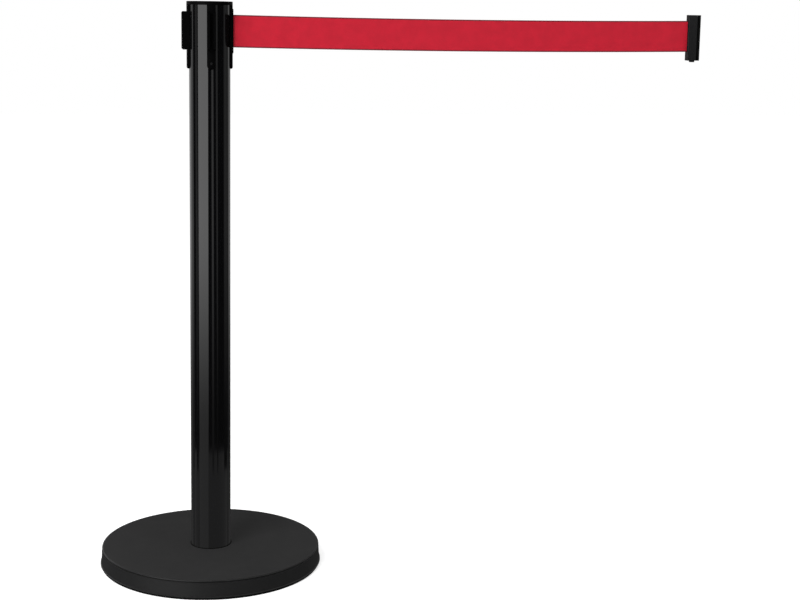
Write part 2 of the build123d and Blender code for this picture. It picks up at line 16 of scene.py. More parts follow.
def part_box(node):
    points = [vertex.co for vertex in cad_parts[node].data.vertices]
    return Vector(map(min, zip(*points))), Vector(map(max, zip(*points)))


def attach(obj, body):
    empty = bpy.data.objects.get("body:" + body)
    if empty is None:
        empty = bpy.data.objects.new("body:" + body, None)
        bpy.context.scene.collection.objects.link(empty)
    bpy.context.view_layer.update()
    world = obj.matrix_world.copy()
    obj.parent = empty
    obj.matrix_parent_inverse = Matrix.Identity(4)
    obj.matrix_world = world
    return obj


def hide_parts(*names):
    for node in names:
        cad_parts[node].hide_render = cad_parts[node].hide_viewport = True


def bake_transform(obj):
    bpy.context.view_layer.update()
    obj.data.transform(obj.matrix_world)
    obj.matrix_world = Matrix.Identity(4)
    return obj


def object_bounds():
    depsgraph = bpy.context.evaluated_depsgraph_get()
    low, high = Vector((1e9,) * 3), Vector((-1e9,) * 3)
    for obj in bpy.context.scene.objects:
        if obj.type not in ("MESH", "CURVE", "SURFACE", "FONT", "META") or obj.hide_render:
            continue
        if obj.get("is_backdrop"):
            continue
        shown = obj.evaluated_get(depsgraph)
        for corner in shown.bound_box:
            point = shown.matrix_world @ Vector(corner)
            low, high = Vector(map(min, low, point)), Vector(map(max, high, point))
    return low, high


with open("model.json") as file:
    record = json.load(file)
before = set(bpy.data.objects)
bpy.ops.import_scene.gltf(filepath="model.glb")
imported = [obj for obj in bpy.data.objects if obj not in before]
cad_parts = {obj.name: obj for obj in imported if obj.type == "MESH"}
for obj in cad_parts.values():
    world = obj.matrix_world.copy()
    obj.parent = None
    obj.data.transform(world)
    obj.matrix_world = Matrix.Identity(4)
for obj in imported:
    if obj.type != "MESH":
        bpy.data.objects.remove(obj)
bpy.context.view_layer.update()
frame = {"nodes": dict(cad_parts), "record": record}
nodes = frame["nodes"]

# %% [markdown]
# ## Measures
# The places below are read from the frame, so the belt and the lights stay right if the post or the
# clip is changed. The belt is 50 mm webbing, a little thinner than a millimetre, and it hangs a few
# millimetres low in the middle. The hub is what the belt winds on inside the head.

# %% Measures from the frame
MM = 0.001
HUB_R = 12.05 * MM
BELT_THICK = 0.75 * MM
BELT_SAG = 2.8 * MM
post_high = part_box("post_tube")[1]
outlet_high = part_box("outlet_guide")[1]
clip_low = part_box("clip_body")[0]
web_low, web_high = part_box("belt_near")
roll_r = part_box("belt_roll")[1].x
belt_mid = (web_low.z + web_high.z) / 2
belt_width = web_high.z - web_low.z
print(f"belt {belt_width * 1000:.1f} mm wide, {(clip_low.x - outlet_high.x) * 1000:.0f} mm of it out")

# %% [markdown]
# ## Helpers for materials
# Each finish is one Principled shader. A value that is the same everywhere goes straight on its
# socket. Small node groups give what changes over a surface, and several finishes share them.


# %% Material helpers
for plain in bpy.data.materials:
    plain.name = f"plain_{plain.name}"
finishes = {}


def finish(name, colour, roughness, metallic=0.0, specular=0.5):
    """A new material with one Principled shader, and the tree and shader to work on."""
    made = bpy.data.materials.new(name)
    finishes[name] = made
    made.use_nodes = True
    tree = made.node_tree
    shader = tree.nodes["Principled BSDF"]
    shader.inputs["Base Color"].default_value = (*colour, 1.0)
    shader.inputs["Roughness"].default_value = roughness
    shader.inputs["Metallic"].default_value = metallic
    shader.inputs["Specular IOR Level"].default_value = specular
    return made, tree, shader


def step(tree, kind, values=None, **settings):
    """Adds a node to a tree, with its settings and its unlinked input values."""
    node = tree.nodes.new(kind)
    for key, value in settings.items():
        setattr(node, key, value)
    for key, value in (values or {}).items():
        node.inputs[key].default_value = value
    return node


def sums(tree, operation, first, second=None, third=None, clamp=False):
    """A Math node; each operand is a number or an output socket. Gives its output."""
    node = tree.nodes.new("ShaderNodeMath")
    node.operation = operation
    node.use_clamp = clamp
    for socket, operand in zip(node.inputs, (first, second, third)):
        if operand is None:
            continue
        if isinstance(operand, bpy.types.NodeSocket):
            tree.links.new(operand, socket)
        else:
            socket.default_value = operand
    return node.outputs[0]


def ramp(tree, value, low, high, out_low=0.0, out_high=1.0):
    """Maps a value smoothly from one range to another. Gives its output."""
    node = step(tree, "ShaderNodeMapRange", interpolation_type="SMOOTHSTEP")
    tree.links.new(value, node.inputs["Value"])
    for socket, number in zip(("From Min", "From Max", "To Min", "To Max"), (low, high, out_low, out_high)):
        node.inputs[socket].default_value = number
    return node.outputs["Result"]


def mixed(tree, share, first, second):
    """Mixes two colours; each is a triple or an output socket. Gives the colour output."""
    node = step(tree, "ShaderNodeMix", data_type="RGBA")
    tree.links.new(share, node.inputs["Factor"])
    for key, colour in (("A", first), ("B", second)):
        socket = next(s for s in node.inputs if s.name == key and s.type == "RGBA")
        if isinstance(colour, bpy.types.NodeSocket):
            tree.links.new(colour, socket)
        else:
            socket.default_value = (*colour, 1.0)
    return next(s for s in node.outputs if s.type == "RGBA")


def group(name, inputs, outputs):
    """A new shader node group with named float inputs and typed outputs, and its two end nodes."""
    made = bpy.data.node_groups.new(name, "ShaderNodeTree")
    for label, value in inputs:
        made.interface.new_socket(label, in_out="INPUT", socket_type="NodeSocketFloat").default_value = value
    for label, kind in outputs:
        made.interface.new_socket(label, in_out="OUTPUT", socket_type=kind)
    return made, made.nodes.new("NodeGroupInput"), made.nodes.new("NodeGroupOutput")


def place(tree, made, values):
    """Puts a node group in a material with its own values. Gives the group node."""
    node = tree.nodes.new("ShaderNodeGroup")
    node.node_tree = made
    for key, value in values.items():
        node.inputs[key].default_value = value
    return node


print("helpers ready")

# %% [markdown]
# ## Moulded and coated grain
# Powder coat, nylon and rubber all have a fine pebbled skin. One group makes it from two sizes of
# noise on Object coordinates, and gives both a bumped normal and a mask that varies the roughness.

# %% The grain group
grain, ends_in, ends_out = group(
    "Fine grain",
    [("Scale", 900.0), ("Depth mm", 0.02), ("Waviness", 0.3)],
    [("Normal", "NodeSocketVector"), ("Mask", "NodeSocketFloat")],
)
coords = step(grain, "ShaderNodeTexCoord").outputs["Object"]
fine = step(grain, "ShaderNodeTexNoise", {"Detail": 3.0, "Roughness": 0.6})
broad = step(grain, "ShaderNodeTexNoise", {"Scale": 14.0, "Detail": 2.0, "Roughness": 0.5})
grain.links.new(coords, fine.inputs["Vector"])
grain.links.new(coords, broad.inputs["Vector"])
grain.links.new(ends_in.outputs["Scale"], fine.inputs["Scale"])
height = sums(grain, "MULTIPLY_ADD", broad.outputs["Fac"], ends_in.outputs["Waviness"], fine.outputs["Fac"])
bump = step(grain, "ShaderNodeBump", {"Strength": 1.0})
grain.links.new(height, bump.inputs["Height"])
grain.links.new(sums(grain, "MULTIPLY", ends_in.outputs["Depth mm"], MM), bump.inputs["Distance"])
grain.links.new(bump.outputs["Normal"], ends_out.inputs["Normal"])
grain.links.new(broad.outputs["Fac"], ends_out.inputs["Mask"])
print("group:", grain.name)

# %% [markdown]
# ## Settled dust
# A stanchion stands on a shop floor, so what faces up holds a breath of dust. The mask is the
# upward part of the normal, broken by noise. It only lightens a finish slightly.

# %% The dust group
dust, ends_in, ends_out = group(
    "Settled dust", [("Amount", 0.2), ("Scale", 30.0)], [("Mask", "NodeSocketFloat")]
)
facing = step(dust, "ShaderNodeSeparateXYZ")
dust.links.new(step(dust, "ShaderNodeNewGeometry").outputs["Normal"], facing.inputs["Vector"])
cloud = step(dust, "ShaderNodeTexNoise", {"Detail": 6.0, "Roughness": 0.65})
dust.links.new(step(dust, "ShaderNodeTexCoord").outputs["Object"], cloud.inputs["Vector"])
dust.links.new(ends_in.outputs["Scale"], cloud.inputs["Scale"])
upward = ramp(dust, facing.outputs["Z"], 0.6, 1.0)
patchy = ramp(dust, cloud.outputs["Fac"], 0.35, 0.75)
dusty = sums(dust, "MULTIPLY", upward, patchy)
settled = sums(dust, "MULTIPLY", dusty, ends_in.outputs["Amount"], clamp=True)
dust.links.new(settled, ends_out.inputs["Mask"])
print("group:", dust.name)

# %% [markdown]
# ## A painted highlight at a rim
# The mask is highest at a given distance from the post's axis and is broken up by noise, so it
# works on any turned piece without reading its mesh. It lightens a rim as a painted highlight.

# %% The rim highlight group
rim_highlight, ends_in, ends_out = group(
    "Rim highlight", [("Radius mm", 174.0), ("Width mm", 2.0), ("Amount", 0.4)], [("Mask", "NodeSocketFloat")]
)
coords = step(rim_highlight, "ShaderNodeTexCoord").outputs["Object"]
axes = step(rim_highlight, "ShaderNodeSeparateXYZ")
rim_highlight.links.new(coords, axes.inputs["Vector"])
squares = sums(rim_highlight, "ADD", sums(rim_highlight, "POWER", axes.outputs["X"], 2.0),
               sums(rim_highlight, "POWER", axes.outputs["Y"], 2.0))
out_mm = sums(rim_highlight, "MULTIPLY", sums(rim_highlight, "SQRT", squares), 1000.0)
off_rim = sums(rim_highlight, "ABSOLUTE", sums(rim_highlight, "SUBTRACT", out_mm, ends_in.outputs["Radius mm"]))
off_share = sums(rim_highlight, "DIVIDE", off_rim, ends_in.outputs["Width mm"])
near_rim = sums(rim_highlight, "SUBTRACT", 1.0, off_share, clamp=True)
highlight_breakup = step(rim_highlight, "ShaderNodeTexNoise", {"Scale": 120.0, "Detail": 5.0, "Roughness": 0.7})
rim_highlight.links.new(coords, highlight_breakup.inputs["Vector"])
highlit = sums(rim_highlight, "MULTIPLY", near_rim, ramp(rim_highlight, highlight_breakup.outputs["Fac"], 0.5, 0.72))
highlit = sums(rim_highlight, "MULTIPLY", highlit, ends_in.outputs["Amount"], clamp=True)
rim_highlight.links.new(highlit, ends_out.inputs["Mask"])
print("group:", rim_highlight.name)

# %% [markdown]
# ## Base paint
# The cover is satin black powder coat with a pebbled skin. The flat top is painted a shade greyer
# than the wall, as painted light, and it holds a trace of dust. The rim carries a thin painted
# highlight, broken up by noise, and the groove under it is painted near black as shade.


# %% Base paint
def grained(tree, shader, scale, depth, waviness, rough_low, rough_high):
    """Links the grain group to a shader's normal and roughness."""
    skin = place(tree, grain, {"Scale": scale, "Depth mm": depth, "Waviness": waviness})
    tree.links.new(skin.outputs["Normal"], shader.inputs["Normal"])
    rough = ramp(tree, skin.outputs["Mask"], 0.3, 0.7, rough_low, rough_high)
    tree.links.new(rough, shader.inputs["Roughness"])
    return skin


WALL_COLOUR = (0.0105, 0.0105, 0.0107)
LIT_TOP_COLOUR = (0.019, 0.019, 0.0193)
base_paint, tree, shader = finish("base_paint", WALL_COLOUR, 0.42, specular=0.25)
grained(tree, shader, 1300.0, 0.02, 0.4, 0.40, 0.45)
RIM_IN = 5.2 * MM
GROOVE_DOWN = 2.9 * MM
cover_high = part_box("base_cover")[1]
rim_r = cover_high.x - RIM_IN
# A thin painted highlight along the rim, where the edge begins to round over.
rim_highlight_node = place(tree, rim_highlight, {"Radius mm": rim_r / MM, "Width mm": 0.9, "Amount": 0.15})
dusty = place(tree, dust, {"Amount": 0.015, "Scale": 24.0})
facing = step(tree, "ShaderNodeSeparateXYZ")
tree.links.new(step(tree, "ShaderNodeNewGeometry").outputs["Normal"], facing.inputs["Vector"])
# Upward faces are painted a shade lighter than the wall: painted light on the top.
lit_top_colour = mixed(tree, ramp(tree, facing.outputs["Z"], 0.3, 0.9), WALL_COLOUR, LIT_TOP_COLOUR)
rim_highlight_colour = mixed(tree, rim_highlight_node.outputs["Mask"], lit_top_colour, (0.12, 0.12, 0.12))
dusty_colour = mixed(tree, dusty.outputs["Mask"], rim_highlight_colour, (0.22, 0.21, 0.20))
upright = step(tree, "ShaderNodeSeparateXYZ")
tree.links.new(step(tree, "ShaderNodeTexCoord").outputs["Object"], upright.inputs["Vector"])
# The groove under the rim is painted near black: painted shade in the recess.
groove_z = cover_high.z - GROOVE_DOWN
off_groove = sums(tree, "ABSOLUTE", sums(tree, "SUBTRACT", upright.outputs["Z"], groove_z))
groove_shade = ramp(tree, off_groove, 0.8 * MM, 1.1 * MM, 1.0, 0.0)
tree.links.new(mixed(tree, groove_shade, dusty_colour, (0.0005, 0.0005, 0.0005)), shader.inputs["Base Color"])
print("finish:", base_paint.name)

# %% [markdown]
# ## Post lacquer
# The post is gloss black lacquer over steel. It is nearly a black mirror, so the lights draw long
# upright bands on it. Real lacquer has a faint orange peel and hairline scuffs, mostly round the
# foot, and those keep it from looking like glass.

# %% Post lacquer
post_paint, tree, shader = finish("post_paint", (0.0014, 0.0014, 0.0017), 0.06)
peel = step(tree, "ShaderNodeTexNoise", {"Scale": 220.0, "Detail": 2.0, "Roughness": 0.5})
rubs = step(tree, "ShaderNodeTexNoise", {"Scale": 9.0, "Detail": 8.0, "Roughness": 0.7})
object_at = step(tree, "ShaderNodeTexCoord").outputs["Object"]
squeeze = step(tree, "ShaderNodeMapping", {"Scale": (1.0, 1.0, 0.25)})
tree.links.new(object_at, squeeze.inputs["Vector"])
tree.links.new(object_at, peel.inputs["Vector"])
tree.links.new(squeeze.outputs["Vector"], rubs.inputs["Vector"])
tree.links.new(ramp(tree, rubs.outputs["Fac"], 0.45, 0.8, 0.055, 0.13), shader.inputs["Roughness"])
ripple = step(tree, "ShaderNodeBump", {"Strength": 0.35, "Distance": 0.01 * MM})
tree.links.new(peel.outputs["Fac"], ripple.inputs["Height"])
tree.links.new(ripple.outputs["Normal"], shader.inputs["Normal"])
print("finish:", post_paint.name)

# %% [markdown]
# ## Nylon mouldings
# The head mouldings are deep black nylon with a fine spark-eroded texture. The clip is the same
# nylon, but handled and so a shade greyer. The bar that slides in the receivers is painted as black
# as the head. The pieces inside are a plain dark moulding.

# %% Nylon mouldings
HEAD_BLACK = (0.0008, 0.0008, 0.0009)
black_moulding, tree, shader = finish("black_moulding", HEAD_BLACK, 0.5, specular=0.04)
grained(tree, shader, 2200.0, 0.03, 0.2, 0.46, 0.58)
dusty = place(tree, dust, {"Amount": 0.01, "Scale": 60.0})
tree.links.new(mixed(tree, dusty.outputs["Mask"], HEAD_BLACK, (0.1, 0.1, 0.1)), shader.inputs["Base Color"])

clip_moulding, tree, shader = finish("clip_moulding", (0.008, 0.008, 0.0085), 0.48, specular=0.25)
handled = grained(tree, shader, 2000.0, 0.035, 0.5, 0.42, 0.56)
skin_colour = mixed(tree, ramp(tree, handled.outputs["Mask"], 0.35, 0.7), (0.0075, 0.0075, 0.008),
                    (0.0105, 0.0105, 0.011))
along = step(tree, "ShaderNodeSeparateXYZ")
tree.links.new(step(tree, "ShaderNodeTexCoord").outputs["Object"], along.inputs["Vector"])
cover_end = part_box("clip_cover")[1].x
# The bar past the cover's end is painted as black as the head mouldings.
bar = ramp(tree, along.outputs["X"], cover_end + 0.2 * MM, cover_end + 0.8 * MM)
tree.links.new(mixed(tree, bar, skin_colour, HEAD_BLACK), shader.inputs["Base Color"])

inner_moulding, tree, shader = finish("inner_moulding", (0.035, 0.036, 0.038), 0.5)
grained(tree, shader, 1500.0, 0.02, 0.4, 0.42, 0.6)
print("finishes:", black_moulding.name, clip_moulding.name, inner_moulding.name)

# %% [markdown]
# ## Metals, rubber and iron
# Small hardware is zinc plated or bright steel, drawn with a brushed or turned grain. The weight is
# a rough casting, and the floor ring and the foot gasket are matte rubber.


# %% Metals, rubber and iron
def metal(name, colour, rough_low, rough_high, stretch):
    """A metal whose roughness and normal vary along a stretched noise, as drawn or turned steel has."""
    made, tree, shader = finish(name, colour, rough_low, metallic=1.0)
    coords = step(tree, "ShaderNodeTexCoord").outputs["Object"]
    squeeze = step(tree, "ShaderNodeMapping", {"Scale": stretch})
    lines = step(tree, "ShaderNodeTexNoise", {"Scale": 900.0, "Detail": 4.0, "Roughness": 0.6})
    tree.links.new(coords, squeeze.inputs["Vector"])
    tree.links.new(squeeze.outputs["Vector"], lines.inputs["Vector"])
    rough = ramp(tree, lines.outputs["Fac"], 0.3, 0.7, rough_low, rough_high)
    tree.links.new(rough, shader.inputs["Roughness"])
    tree.links.new(mixed(tree, ramp(tree, lines.outputs["Fac"], 0.3, 0.7), colour, [c * 0.8 for c in colour]),
                   shader.inputs["Base Color"])
    bump = step(tree, "ShaderNodeBump", {"Strength": 0.4, "Distance": 0.02 * MM})
    tree.links.new(lines.outputs["Fac"], bump.inputs["Height"])
    tree.links.new(bump.outputs["Normal"], shader.inputs["Normal"])
    return made


zinc_steel = metal("zinc_steel", (0.56, 0.56, 0.53), 0.28, 0.5, (1.0, 1.0, 1.0))
bright_steel = metal("bright_steel", (0.68, 0.68, 0.68), 0.14, 0.28, (1.0, 1.0, 0.1))
spring_steel = metal("spring_steel", (0.30, 0.31, 0.33), 0.22, 0.4, (1.0, 1.0, 0.15))
black_steel = metal("black_steel", (0.035, 0.035, 0.036), 0.3, 0.45, (1.0, 1.0, 1.0))
bronze = metal("bronze", (0.50, 0.33, 0.17), 0.3, 0.5, (1.0, 1.0, 1.0))

rubber, tree, shader = finish("rubber", (0.004, 0.004, 0.004), 0.75, specular=0.1)
grained(tree, shader, 1100.0, 0.05, 0.6, 0.66, 0.85)

cast_iron, tree, shader = finish("cast_iron", (0.07, 0.068, 0.065), 0.7, metallic=0.6)
skin = grained(tree, shader, 420.0, 0.25, 1.2, 0.55, 0.85)
rusty = ramp(tree, skin.outputs["Mask"], 0.4, 0.7)
iron_colour = mixed(tree, rusty, (0.075, 0.072, 0.068), (0.10, 0.06, 0.04))
tree.links.new(iron_colour, shader.inputs["Base Color"])
metals = (zinc_steel, bright_steel, spring_steel, black_steel, bronze, cast_iron)
print("finishes:", rubber.name, *(m.name for m in metals))

# %% [markdown]
# ## Belt webbing
# The belt is red polyester webbing. Warp yarns run along it as ribs, weft yarns cross under and
# over them with a step from rib to rib, which gives a fine diagonal twill, and a tighter selvedge
# runs down each edge. The group works the yarns out from Object X along the belt, and from the
# distance across it, which the webbing tree stores on each strap as "across", in metres.

# %% The weave group
weave, ends_in, ends_out = group(
    "Twill webbing",
    [("Half width", belt_width / 2), ("Rib mm", 1.1), ("Pick mm", 1.3)],
    [("Height", "NodeSocketFloat"), ("Hollow shade", "NodeSocketFloat"), ("Selvedge", "NodeSocketFloat")],
)
axes = step(weave, "ShaderNodeSeparateXYZ")
weave.links.new(step(weave, "ShaderNodeTexCoord").outputs["Object"], axes.inputs["Vector"])
stored = step(weave, "ShaderNodeAttribute", attribute_type="GEOMETRY", attribute_name="across")
across = stored.outputs["Fac"]
ribs = sums(weave, "DIVIDE", sums(weave, "MULTIPLY", across, 1000.0), ends_in.outputs["Rib mm"])
picks = sums(weave, "DIVIDE", sums(weave, "MULTIPLY", axes.outputs["X"], 1000.0), ends_in.outputs["Pick mm"])
rib_shape = sums(weave, "ABSOLUTE", sums(weave, "SINE", sums(weave, "MULTIPLY", ribs, math.pi)))
offset = sums(weave, "MULTIPLY", sums(weave, "FLOOR", ribs), 0.25)
crossing = sums(weave, "SINE", sums(weave, "MULTIPLY", sums(weave, "ADD", picks, offset), math.pi))
pick_shape = sums(weave, "MULTIPLY_ADD", sums(weave, "ABSOLUTE", crossing), 0.6, 0.4)
yarns = sums(weave, "MULTIPLY", rib_shape, pick_shape)
to_edge = sums(weave, "SUBTRACT", ends_in.outputs["Half width"], sums(weave, "ABSOLUTE", across))
edge = ramp(weave, to_edge, 1.5 * MM, 2.2 * MM, 1.0, 0.0)
weave.links.new(yarns, ends_out.inputs["Height"])
# The hollows between the yarns are marked for painted shade.
weave.links.new(sums(weave, "SUBTRACT", 1.0, ramp(weave, yarns, 0.05, 0.45)), ends_out.inputs["Hollow shade"])
weave.links.new(edge, ends_out.inputs["Selvedge"])
print("group:", weave.name)

# %% Belt fabric
YARN_RED = (0.575, 0.0095, 0.030)
HOLLOW_SHADE_RED = (0.25, 0.003, 0.008)
DARK_EDGE_RED = (0.16, 0.010, 0.018)
belt_fabric, tree, shader = finish("belt_fabric", YARN_RED, 0.6, specular=0.2)
shader.inputs["Sheen Weight"].default_value = 0.03
shader.inputs["Sheen Roughness"].default_value = 0.4
shader.inputs["Sheen Tint"].default_value = (1.0, 0.45, 0.45, 1.0)
cloth = place(tree, weave, {})
mottle = step(tree, "ShaderNodeTexNoise", {"Scale": 55.0, "Detail": 4.0, "Roughness": 0.6})
tree.links.new(step(tree, "ShaderNodeTexCoord").outputs["Object"], mottle.inputs["Vector"])
dyed = mixed(tree, ramp(tree, mottle.outputs["Fac"], 0.3, 0.7), YARN_RED, [c * 0.88 for c in YARN_RED])
# The hollows between the yarns are painted darker red: painted shade.
woven = mixed(tree, sums(tree, "MULTIPLY", cloth.outputs["Hollow shade"], 0.55), dyed, HOLLOW_SHADE_RED)
# Along each edge the red is painted darker.
edged = mixed(tree, cloth.outputs["Selvedge"], woven, DARK_EDGE_RED)
# Reflections see the belt near black: a painted reflection, so the post mirrors it as a dark shape.
mirrored = step(tree, "ShaderNodeLightPath").outputs["Is Glossy Ray"]
tree.links.new(mixed(tree, mirrored, edged, (0.004, 0.0, 0.0)), shader.inputs["Base Color"])
relief = step(tree, "ShaderNodeBump", {"Strength": 0.8, "Distance": 0.18 * MM})
tree.links.new(cloth.outputs["Height"], relief.inputs["Height"])
tree.links.new(relief.outputs["Normal"], shader.inputs["Normal"])
print("finish:", belt_fabric.name)

# %% [markdown]
# ## Give the CAD pieces their finishes
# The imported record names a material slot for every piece, so each takes the finish of that name.
# The tube and the pieces below the head are left out of reflections, so that the foot of the post
# and the base don't darken each other with mirror images.

# %% Assign the finishes
for part in frame["record"]["subparts"]:
    piece = nodes[part["node"]]
    piece.data.materials.clear()
    piece.data.materials.append(finishes[part["material_slot"]])
HEAD_FROM = 0.6
for name, piece in nodes.items():
    piece.visible_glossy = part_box(name)[1].z > HEAD_FROM
nodes["post_tube"].visible_glossy = False

# %% [markdown]
# ## Webbing along a path
# All the belt is one kind of strap: the free length, the turns on the spool, the run between the
# pins and the sewn loop. A Geometry Nodes tree sweeps one woven section along any path. The section
# goes up the front face and down the back, with a rib for each warp yarn, a groove and a raised
# selvedge at each edge, so the strap has its relief in the mesh and not only in the finish.


# %% Geometry Nodes helpers
def new_tree(name, sockets):
    """A geometry tree with a geometry input and output and named inputs: (label, socket type)."""
    tree = bpy.data.node_groups.new(name, "GeometryNodeTree")
    tree.interface.new_socket("Geometry", in_out="INPUT", socket_type="NodeSocketGeometry")
    tree.interface.new_socket("Geometry", in_out="OUTPUT", socket_type="NodeSocketGeometry")
    for label, kind in sockets:
        tree.interface.new_socket(label, in_out="INPUT", socket_type=kind)
    return tree, tree.nodes.new("NodeGroupInput"), tree.nodes.new("NodeGroupOutput")


def run_tree(path, name, tree, values):
    """Runs a tree on a curve, and gives its result as a plain mesh object. The curve is removed."""
    modifier = path.modifiers.new("shape", "NODES")
    modifier.node_group = tree
    for item in tree.interface.items_tree:
        if item.in_out == "INPUT" and item.name in values:
            modifier[item.identifier] = values[item.name]
    bpy.context.view_layer.update()
    shaped = path.evaluated_get(bpy.context.evaluated_depsgraph_get())
    mesh = bpy.data.meshes.new_from_object(shaped)
    mesh.name = name
    path.modifiers.clear()
    bpy.data.objects.remove(path)
    piece = bpy.data.objects.new(name, mesh)
    bpy.context.scene.collection.objects.link(piece)
    print(f"{name}: {len(mesh.polygons)} faces")
    return piece


def path_curve(name, *lines):
    """A curve object with one straight-run spline for each list of points."""
    curve = bpy.data.curves.new(name, "CURVE")
    curve.dimensions = "3D"
    for points in lines:
        spline = curve.splines.new("POLY")
        spline.points.add(len(points) - 1)
        for point, place_at in zip(spline.points, points):
            point.co = (*place_at, 1.0)
    made = bpy.data.objects.new(name, curve)
    bpy.context.scene.collection.objects.link(made)
    return made


# %% The webbing tree
FLOAT = "NodeSocketFloat"
GROOVE_IN = 2.1 * MM
GROOVE_HALF = 0.6 * MM
EDGE_ROUND = 0.5 * MM
webbing, ends_in, ends_out = new_tree("Webbing along a path", [
    ("Width", FLOAT), ("Thickness", FLOAT), ("Rib spacing", FLOAT), ("Rib depth", FLOAT),
    ("Points round", "NodeSocketInt"), ("Material", "NodeSocketMaterial")])
width, thick = ends_in.outputs["Width"], ends_in.outputs["Thickness"]
ring = step(webbing, "GeometryNodeCurvePrimitiveCircle", {"Radius": 0.01}, mode="RADIUS")
webbing.links.new(ends_in.outputs["Points round"], ring.inputs["Resolution"])
round_share = step(webbing, "GeometryNodeSplineParameter").outputs["Factor"]
rise = sums(webbing, "PINGPONG", sums(webbing, "MULTIPLY", round_share, 2.0), 1.0)
up = sums(webbing, "MULTIPLY", sums(webbing, "SUBTRACT", rise, 0.5), width)
to_edge = sums(webbing, "SUBTRACT", sums(webbing, "MULTIPLY", width, 0.5), sums(webbing, "ABSOLUTE", up))
side = sums(webbing, "MULTIPLY_ADD", sums(webbing, "LESS_THAN", round_share, 0.5), 2.0, -1.0)
turns = sums(webbing, "MULTIPLY", sums(webbing, "DIVIDE", up, ends_in.outputs["Rib spacing"]), math.tau)
ribs = sums(webbing, "MULTIPLY", sums(webbing, "COSINE", turns), -0.5)
off_groove = sums(webbing, "ABSOLUTE", sums(webbing, "SUBTRACT", to_edge, GROOVE_IN))
groove = sums(webbing, "SUBTRACT", 1.0, sums(webbing, "DIVIDE", off_groove, GROOVE_HALF), clamp=True)
relief = sums(webbing, "MULTIPLY", sums(webbing, "SUBTRACT", ribs, groove), ends_in.outputs["Rib depth"])
half = sums(webbing, "ADD", sums(webbing, "MULTIPLY", thick, 0.5), relief)
closing = sums(webbing, "SQRT", sums(webbing, "DIVIDE", to_edge, EDGE_ROUND, clamp=True))
face = sums(webbing, "MULTIPLY", sums(webbing, "MULTIPLY", half, side), closing)
section_at = step(webbing, "ShaderNodeCombineXYZ")
webbing.links.new(face, section_at.inputs["X"])
webbing.links.new(up, section_at.inputs["Y"])
marked = step(webbing, "GeometryNodeStoreNamedAttribute", {"Name": "across"},
              data_type="FLOAT", domain="POINT")
webbing.links.new(ring.outputs["Curve"], marked.inputs["Geometry"])
webbing.links.new(up, marked.inputs["Value"])
section = step(webbing, "GeometryNodeSetPosition")
webbing.links.new(marked.outputs["Geometry"], section.inputs["Geometry"])
webbing.links.new(section_at.outputs["Vector"], section.inputs["Position"])
upright = step(webbing, "GeometryNodeSetCurveNormal", mode="Z_UP")
webbing.links.new(ends_in.outputs["Geometry"], upright.inputs["Curve"])
swept = step(webbing, "GeometryNodeCurveToMesh", {"Fill Caps": True})
webbing.links.new(upright.outputs["Curve"], swept.inputs["Curve"])
webbing.links.new(section.outputs["Geometry"], swept.inputs["Profile Curve"])


def last_steps(tree, geometry, ends_in, ends_out):
    """Smooth shading, realised instances and the material, at the end of a tree."""
    smooth = step(tree, "GeometryNodeSetShadeSmooth")
    plain = step(tree, "GeometryNodeRealizeInstances")
    painted = step(tree, "GeometryNodeSetMaterial")
    tree.links.new(geometry, smooth.inputs["Geometry"])
    tree.links.new(smooth.outputs["Geometry"], plain.inputs["Geometry"])
    tree.links.new(plain.outputs["Geometry"], painted.inputs["Geometry"])
    tree.links.new(ends_in.outputs["Material"], painted.inputs["Material"])
    tree.links.new(painted.outputs["Geometry"], ends_out.inputs["Geometry"])


last_steps(webbing, swept.outputs["Mesh"], ends_in, ends_out)
print("tree:", webbing.name)

# %% [markdown]
# ## The free belt
# The belt hangs between the outlet and the clip, pulled by its spring, so it sags only a little: a
# shallow parabola. As the clip is drawn out the belt gets longer, so it is made in three lengths.


# %% The free belt
def drop(x):
    """How far the belt's middle hangs below a straight line at this distance along it."""
    share = (x - outlet_high.x) / (clip_low.x - outlet_high.x)
    share = min(max(share, 0.0), 1.0)
    return 4 * BELT_SAG * share * (1 - share)


def strap(name, lines, node, fine=True, thick=BELT_THICK):
    """Sweeps the webbing along a path, in the place of a plain belt piece."""
    low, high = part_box(node)
    values = {"Width": high.z - low.z, "Thickness": thick, "Rib spacing": 1.1 * MM,
              "Rib depth": 0.1 * MM if fine else 0.0, "Points round": 368 if fine else 40,
              "Material": belt_fabric}
    piece = run_tree(path_curve(name, *lines), name, webbing, values)
    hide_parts(node)
    return piece


SECTION = 5 * MM
for node, bodies in (("belt_near", ("post", "belt_near")), ("belt_middle", ("belt_near", "belt_middle")),
                     ("belt_far", ("belt_far", "clip"))):
    low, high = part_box(node)
    count = round((high.x - low.x) / SECTION)
    along = [low.x + (high.x - low.x) * i / count for i in range(count + 1)]
    piece = strap(f"woven_{node}", [[(x, 0, belt_mid - drop(x)) for x in along]], node)
    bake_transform(piece)

# %% [markdown]
# ## The belt on its spool
# About 1.2 m of belt is wound on the spool, in a spiral with an even step from turn to turn, from
# the hub to the outside of the roll. It is modelled thinner than the free belt, to fit that length.

# %% The belt on its spool
TURN_STEP = 0.6 * MM
WOUND_THICK = 0.5 * MM
turns = (roll_r - HUB_R) / TURN_STEP - 0.5
PER_TURN = 72
steps = round(turns * PER_TURN)
spiral = []
for i in range(steps + 1):
    angle = math.tau * i / PER_TURN
    radius = HUB_R + TURN_STEP * (0.5 + i / PER_TURN)
    spiral.append((radius * math.cos(angle), radius * math.sin(angle), belt_mid))
wound = strap("wound_belt", [spiral], "belt_roll", fine=False, thick=WOUND_THICK)
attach(wound, "spool")

# %% [markdown]
# ## The run-out
# Between the roll and the outlet the belt leaves the roll on a tangent, turns round a guide pin and
# goes straight out. The pins' place is read from the frame.

